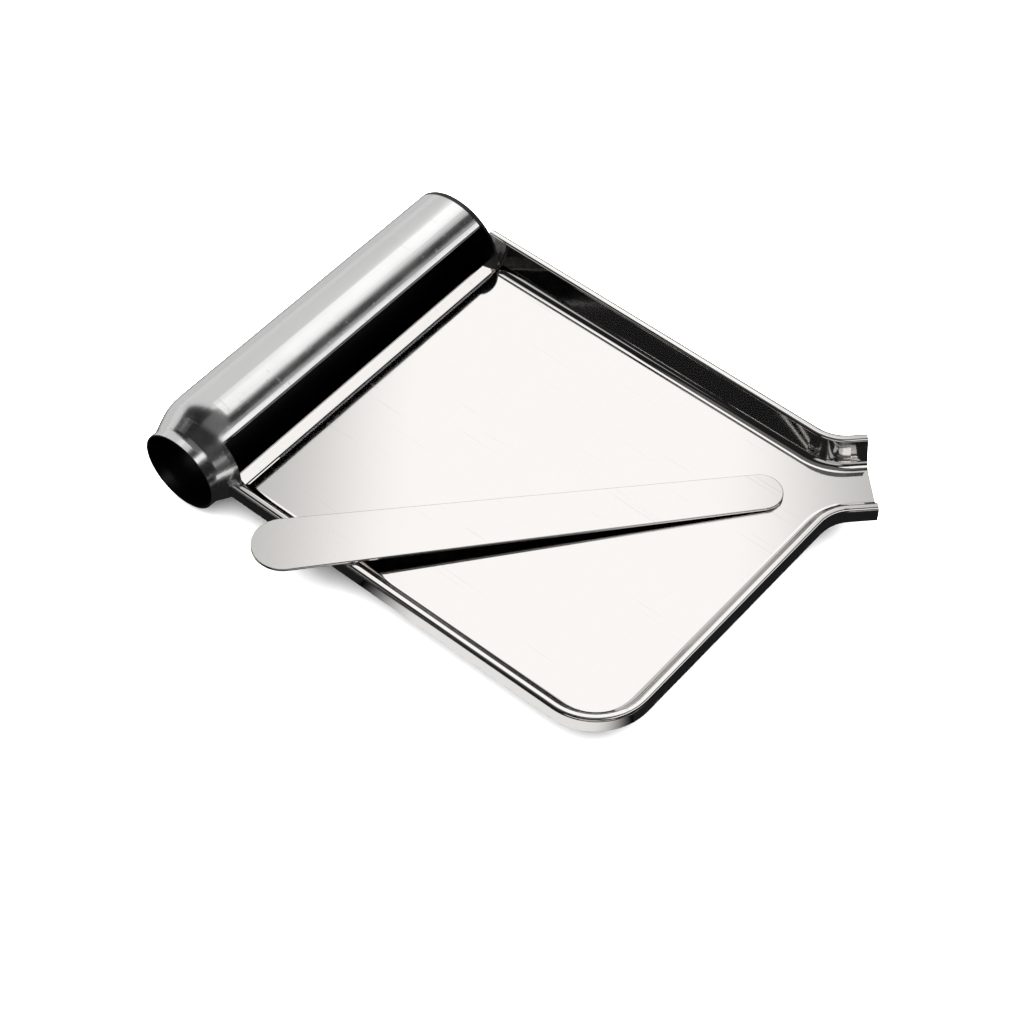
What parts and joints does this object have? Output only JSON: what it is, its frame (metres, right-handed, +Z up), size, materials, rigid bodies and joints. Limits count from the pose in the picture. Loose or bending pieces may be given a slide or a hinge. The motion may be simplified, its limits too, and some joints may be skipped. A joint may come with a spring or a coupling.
{
  "type": "pill counting tray",
  "caption": "Shallow steel counting tray with a slotted collecting tube along one side, a corner pouring spout and a loose flat spatula.",
  "frame": {"origin": "middle of the whole tray's box in plan, with the spatula in place, on the table the tray stands on", "axes": "+Z up; +Y runs back along the collecting tube, away from its mouth; +X runs from the tube to the pan's right side"},
  "size_m": [0.2408, 0.1972, 0.045],
  "materials": {
    "pan_steel": "mirror polished with light scratches",
    "tube_steel": "polished, with fine lengthways grain",
    "cap_steel": "spun, fine turning marks",
    "weld_metal": "ground weld",
    "foot_rubber": "matt",
    "blade_steel": "polished, with fine scratches"
  },
  "bodies": {
    "tray": {"pan": "pan_steel", "tube": "tube_steel", "end_cap": "cap_steel", "seam_weld": "weld_metal", "front_weld": "weld_metal", "rear_weld": "weld_metal", "front_foot": "foot_rubber", "rear_foot": "foot_rubber"},
    "spatula": {"spatula": "blade_steel"}
  },
  "joints": [
    {"name": "spatula_lift", "type": "slide", "parent": "tray", "child": "spatula", "axis": [0, 0, 1], "range_m": [0, 0.12]}
  ]
}
